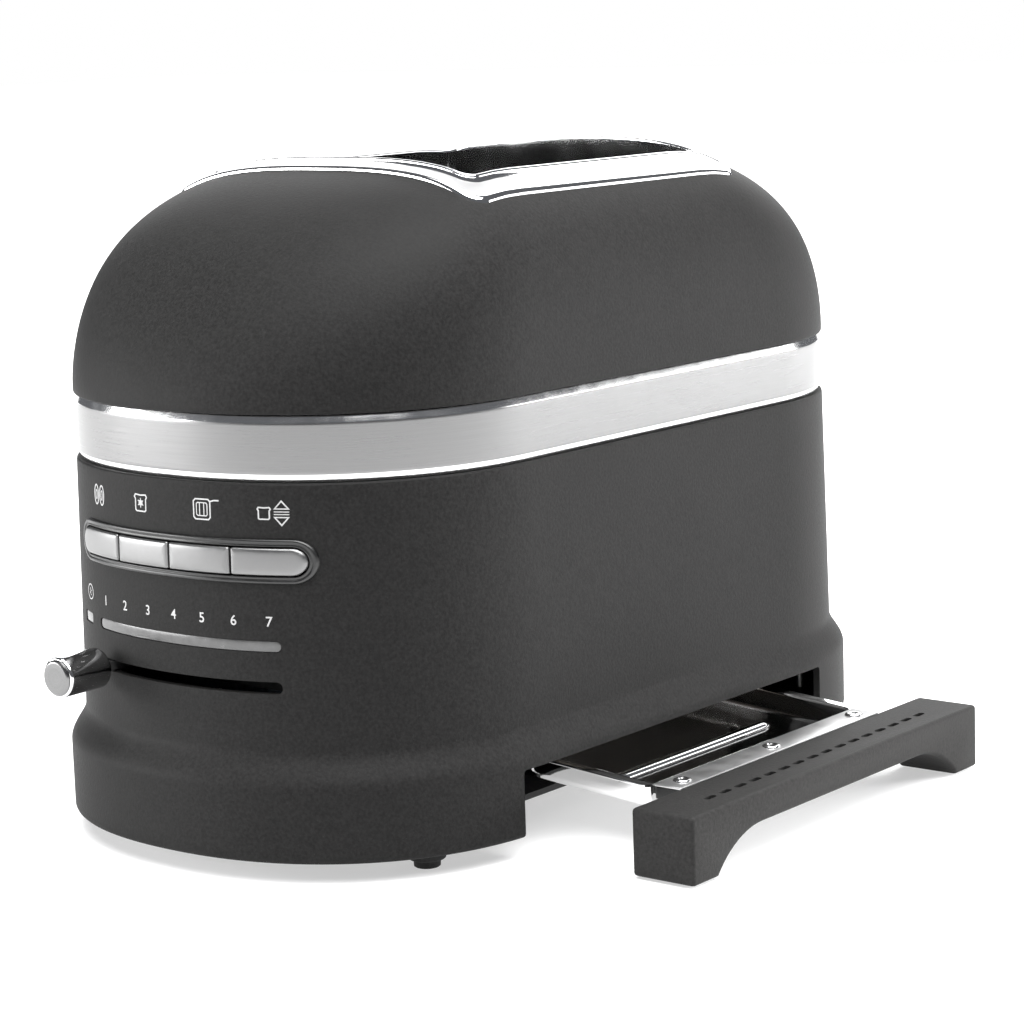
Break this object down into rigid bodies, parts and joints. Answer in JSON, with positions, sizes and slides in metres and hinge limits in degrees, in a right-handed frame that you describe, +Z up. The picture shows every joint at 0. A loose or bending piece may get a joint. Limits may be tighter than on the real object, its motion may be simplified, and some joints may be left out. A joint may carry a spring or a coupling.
{
  "type": "toaster",
  "caption": "Pop-up toaster with a domed charcoal body, brushed metal band, button row, shade slider, motor bread lift and a crumb tray pulled out of its side.",
  "frame": {"origin": "on the worktop under the middle of the body's plan outline", "axes": "+Z up; -Y towards the control face, so +Y runs along the body; +X is the side that the crumb tray slides out of"},
  "size_m": [0.2389, 0.3225, 0.2161],
  "materials": {
    "body_paint": "textured charcoal powder coat",
    "brushed_metal": "brushed, with polished chamfers",
    "satin_metal": "satin grey",
    "polished_metal": "polished",
    "button_chrome": "satin chrome",
    "smoked_chrome": "dark polished",
    "black_plastic": "moulded black",
    "rubber": "soft black",
    "zinc_steel": "zinc plated",
    "bright_steel": "bright rolled sheet",
    "mica": "mica sheet",
    "element_wire": "resistance ribbon",
    "wire_chrome": "plated wire",
    "smoke_lens": "grey diffusing lens",
    "board_green": "circuit board"
  },
  "bodies": {
    "body": {"lower_housing": "body_paint", "trim_band": "brushed_metal", "dome_shell": "body_paint", "top_surround": "polished_metal", "slot_liner": "polished_metal", "base_plate": "black_plastic", "rubber_feet": "rubber", "tie_screws": "zinc_steel", "cord_gland": "rubber", "chamber_end_front": "bright_steel", "chamber_end_rear": "bright_steel", "reflector_left": "bright_steel", "reflector_right": "bright_steel", "heater_card_left": "mica", "heater_card_centre": "mica", "heater_card_right": "mica", "heater_elements": "element_wire", "centre_bridge": "bright_steel", "guide_rods": "zinc_steel", "top_bracket": "zinc_steel", "lift_motor": "zinc_steel", "button_bezel": "satin_metal", "display_window": "smoke_lens", "lamp_window": "smoke_lens", "control_board": "board_green", "switch_mat": "rubber", "slider_track": "black_plastic", "tray_rails": "zinc_steel", "power_board": "board_green", "power_parts": "black_plastic"},
    "lift": {"lift_carriage": "black_plastic", "bread_rack_left": "zinc_steel", "bread_rack_right": "zinc_steel"},
    "screw": {"lead_screw": "zinc_steel"},
    "guard_left_outer": {"guard_left_outer": "wire_chrome"},
    "guard_left_inner": {"guard_left_inner": "wire_chrome"},
    "guard_right_inner": {"guard_right_inner": "wire_chrome"},
    "guard_right_outer": {"guard_right_outer": "wire_chrome"},
    "bagel_button": {"button_bagel": "button_chrome"},
    "defrost_button": {"button_defrost": "button_chrome"},
    "sandwich_button": {"button_sandwich": "button_chrome"},
    "start_button": {"button_start": "button_chrome"},
    "shade_slider": {"shade_lever": "black_plastic", "shade_knob": "smoked_chrome", "knob_cap": "polished_metal"},
    "crumb_tray": {"tray_handle": "body_paint", "tray_pan": "polished_metal", "tray_rivets": "zinc_steel"}
  },
  "joints": [
    {"name": "lift_slide", "type": "slide", "parent": "body", "child": "lift", "axis": [0, 0, 1], "range_m": [-0.078, 0]},
    {"name": "screw_turn", "type": "hinge", "parent": "body", "child": "screw", "pos_m": [0, -0.099, 0.1], "axis": [0, 0, 1], "range_deg": [-705, 5]},
    {"name": "guard_left_outer_slide", "type": "slide", "parent": "body", "child": "guard_left_outer", "axis": [1, 0, 0], "range_m": [0, 0.0081]},
    {"name": "guard_left_inner_slide", "type": "slide", "parent": "body", "child": "guard_left_inner", "axis": [-1, 0, 0], "range_m": [0, 0.0081]},
    {"name": "guard_right_inner_slide", "type": "slide", "parent": "body", "child": "guard_right_inner", "axis": [1, 0, 0], "range_m": [0, 0.0081]},
    {"name": "guard_right_outer_slide", "type": "slide", "parent": "body", "child": "guard_right_outer", "axis": [-1, 0, 0], "range_m": [0, 0.0081]},
    {"name": "bagel_press", "type": "slide", "parent": "body", "child": "bagel_button", "axis": [0, 1, 0], "range_m": [0, 0.0015], "stiffness_N_per_m": 400},
    {"name": "defrost_press", "type": "slide", "parent": "body", "child": "defrost_button", "axis": [0, 1, 0], "range_m": [0, 0.0015], "stiffness_N_per_m": 400},
    {"name": "sandwich_press", "type": "slide", "parent": "body", "child": "sandwich_button", "axis": [0, 1, 0], "range_m": [0, 0.0015], "stiffness_N_per_m": 400},
    {"name": "start_press", "type": "slide", "parent": "body", "child": "start_button", "axis": [0, 1, 0], "range_m": [0, 0.0015], "stiffness_N_per_m": 400},
    {"name": "shade_slide", "type": "slide", "parent": "body", "child": "shade_slider", "axis": [1, 0, 0], "range_m": [0, 0.0672]},
    {"name": "tray_slide", "type": "slide", "parent": "body", "child": "crumb_tray", "axis": [-0.9969, 0, 0.0785], "range_m": [0, 0.0626]}
  ],
  "couplings": [
    {"joint": "screw_turn", "follows": "lift_slide", "rad_per_m": 157.08},
    {"joint": "guard_left_outer_slide", "follows": "lift_slide", "ratio": -0.10256},
    {"joint": "guard_left_inner_slide", "follows": "lift_slide", "ratio": -0.10256},
    {"joint": "guard_right_inner_slide", "follows": "lift_slide", "ratio": -0.10256},
    {"joint": "guard_right_outer_slide", "follows": "lift_slide", "ratio": -0.10256}
  ]
}
